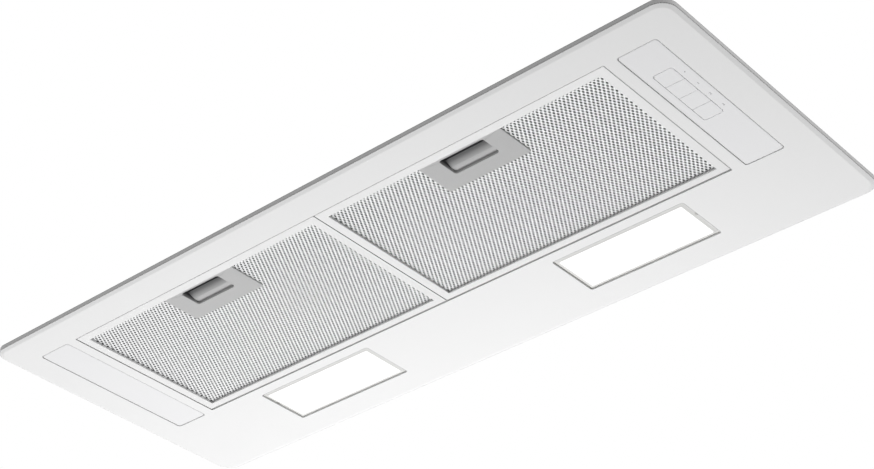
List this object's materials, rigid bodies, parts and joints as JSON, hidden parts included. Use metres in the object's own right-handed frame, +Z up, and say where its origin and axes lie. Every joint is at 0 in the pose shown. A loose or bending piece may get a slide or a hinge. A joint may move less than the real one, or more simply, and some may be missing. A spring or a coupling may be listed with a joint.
{
  "type": "range hood insert",
  "caption": "Flat rectangular cooker hood insert with mesh grease filters, lamps and push keys in a bevelled face plate, and a blower with a round outlet in a sheet-metal housing.",
  "frame": {"origin": "centre of the face plate's lower face", "axes": "+X along the plate towards the keys, -Y towards the long edge with the filter handles, +Z up into the cabinet"},
  "size_m": [0.716, 0.286, 0.156],
  "materials": {
    "fascia": "smooth white paint",
    "opening_frame": "smooth white paint",
    "seal_strip": "closed-cell foam",
    "housing_top": "plain galvanised sheet",
    "housing_front": "plain galvanised sheet",
    "housing_rear": "plain galvanised sheet",
    "housing_end_left": "plain galvanised sheet",
    "housing_end_right": "plain galvanised sheet",
    "fixing_nuts": "zinc plated",
    "control_panel": "satin white",
    "blank_panel": "satin white",
    "switch_unit": "moulded",
    "switch_terminals": "tinned brass",
    "switch_screws": "zinc plated",
    "lamp_box_left": "white reflector paint",
    "lamp_box_right": "white reflector paint",
    "lamp_holder_left": "moulded",
    "lamp_holder_right": "moulded",
    "bulb_left": "opal glass",
    "bulb_right": "opal glass",
    "scroll_left": "moulded",
    "scroll_right": "moulded",
    "motor_bracket": "plain galvanised sheet",
    "blower_screws": "zinc plated",
    "motor": "lacquered can",
    "outlet_collar": "moulded",
    "collar_screws": "zinc plated",
    "flap_pin": "drawn wire",
    "junction_box": "moulded",
    "junction_lid": "moulded",
    "junction_screws": "zinc plated",
    "cable_gland": "moulded",
    "capacitor": "moulded can",
    "capacitor_clip": "plain galvanised sheet",
    "filter_frame_left": "light satin",
    "filter_mesh_left": "expanded sheet",
    "filter_back_left": "expanded sheet",
    "filter_core_left": "expanded sheet",
    "handle_left": "moulded grey",
    "latch_spring_left": "spring strip",
    "filter_frame_right": "light satin",
    "filter_mesh_right": "expanded sheet",
    "filter_back_right": "expanded sheet",
    "filter_core_right": "expanded sheet",
    "handle_right": "moulded grey",
    "latch_spring_right": "spring strip",
    "latch_left": "moulded grey",
    "latch_right": "moulded grey",
    "key_1": "satin white",
    "key_2": "satin white",
    "key_3": "satin white",
    "key_4": "satin white",
    "lamp_cover_left": "opal",
    "lamp_cover_right": "opal",
    "wheel_blades": "moulded",
    "wheel_rings": "moulded",
    "wheel_disc": "moulded",
    "motor_shaft": "ground",
    "flap_front": "moulded",
    "flap_rear": "moulded"
  },
  "bodies": {
    "hood": {"fascia": "fascia", "opening_frame": "opening_frame", "seal_strip": "seal_strip", "housing_top": "housing_top", "housing_front": "housing_front", "housing_rear": "housing_rear", "housing_end_left": "housing_end_left", "housing_end_right": "housing_end_right", "fixing_nuts": "fixing_nuts", "control_panel": "control_panel", "blank_panel": "blank_panel", "switch_unit": "switch_unit", "switch_terminals": "switch_terminals", "switch_screws": "switch_screws", "lamp_box_left": "lamp_box_left", "lamp_box_right": "lamp_box_right", "lamp_holder_left": "lamp_holder_left", "lamp_holder_right": "lamp_holder_right", "bulb_left": "bulb_left", "bulb_right": "bulb_right", "scroll_left": "scroll_left", "scroll_right": "scroll_right", "motor_bracket": "motor_bracket", "blower_screws": "blower_screws", "motor": "motor", "outlet_collar": "outlet_collar", "collar_screws": "collar_screws", "flap_pin": "flap_pin", "junction_box": "junction_box", "junction_lid": "junction_lid", "junction_screws": "junction_screws", "cable_gland": "cable_gland", "capacitor": "capacitor", "capacitor_clip": "capacitor_clip"},
    "filter_left": {"filter_frame_left": "filter_frame_left", "filter_mesh_left": "filter_mesh_left", "filter_back_left": "filter_back_left", "filter_core_left": "filter_core_left", "handle_left": "handle_left", "latch_spring_left": "latch_spring_left"},
    "filter_right": {"filter_frame_right": "filter_frame_right", "filter_mesh_right": "filter_mesh_right", "filter_back_right": "filter_back_right", "filter_core_right": "filter_core_right", "handle_right": "handle_right", "latch_spring_right": "latch_spring_right"},
    "latch_left": {"latch_left": "latch_left"},
    "latch_right": {"latch_right": "latch_right"},
    "key_1": {"key_1": "key_1"},
    "key_2": {"key_2": "key_2"},
    "key_3": {"key_3": "key_3"},
    "key_4": {"key_4": "key_4"},
    "cover_left": {"lamp_cover_left": "lamp_cover_left"},
    "cover_right": {"lamp_cover_right": "lamp_cover_right"},
    "fan": {"wheel_blades": "wheel_blades", "wheel_rings": "wheel_rings", "wheel_disc": "wheel_disc", "motor_shaft": "motor_shaft"},
    "flap_front": {"flap_front": "flap_front"},
    "flap_rear": {"flap_rear": "flap_rear"}
  },
  "joints": [
    {"name": "filter_left_swing", "type": "hinge", "parent": "hood", "child": "filter_left", "pos_m": [-0.1412, 0.0467, 0.002], "axis": [1, 0, 0], "range_deg": [0, 60]},
    {"name": "latch_left_slide", "type": "slide", "parent": "filter_left", "child": "latch_left", "axis": [0, 1, 0], "range_m": [0, 0.005], "stiffness_N_per_m": 400, "springref_m": -0.004, "deforming": ["latch_spring_left"]},
    {"name": "filter_right_swing", "type": "hinge", "parent": "hood", "child": "filter_right", "pos_m": [0.1416, 0.0467, 0.002], "axis": [1, 0, 0], "range_deg": [0, 60]},
    {"name": "latch_right_slide", "type": "slide", "parent": "filter_right", "child": "latch_right", "axis": [0, 1, 0], "range_m": [0, 0.005], "stiffness_N_per_m": 400, "springref_m": -0.004, "deforming": ["latch_spring_right"]},
    {"name": "key_1_press", "type": "slide", "parent": "hood", "child": "key_1", "axis": [0, 0, 1], "range_m": [0, 0.0025], "stiffness_N_per_m": 400, "springref_m": -0.003},
    {"name": "key_2_press", "type": "slide", "parent": "hood", "child": "key_2", "axis": [0, 0, 1], "range_m": [0, 0.0025], "stiffness_N_per_m": 400, "springref_m": -0.003},
    {"name": "key_3_press", "type": "slide", "parent": "hood", "child": "key_3", "axis": [0, 0, 1], "range_m": [0, 0.0025], "stiffness_N_per_m": 400, "springref_m": -0.003},
    {"name": "key_4_press", "type": "slide", "parent": "hood", "child": "key_4", "axis": [0, 0, 1], "range_m": [0, 0.0025], "stiffness_N_per_m": 400, "springref_m": -0.003},
    {"name": "cover_left_swing", "type": "hinge", "parent": "hood", "child": "cover_left", "pos_m": [-0.10435, 0.0866, 0.0022], "axis": [0, -1, 0], "range_deg": [0, 75]},
    {"name": "cover_right_swing", "type": "hinge", "parent": "hood", "child": "cover_right", "pos_m": [0.10435, 0.0866, 0.0022], "axis": [0, 1, 0], "range_deg": [0, 75]},
    {"name": "fan_spin", "type": "hinge", "parent": "hood", "child": "fan", "pos_m": [0, 0.03904, 0.0795], "axis": [1, 0, 0], "continuous": true},
    {"name": "flap_front_lift", "type": "hinge", "parent": "hood", "child": "flap_front", "pos_m": [0, 0.07, 0.139], "axis": [-1, 0, 0], "range_deg": [0, 80]},
    {"name": "flap_rear_lift", "type": "hinge", "parent": "hood", "child": "flap_rear", "pos_m": [0, 0.07, 0.139], "axis": [1, 0, 0], "range_deg": [0, 80]}
  ]
}
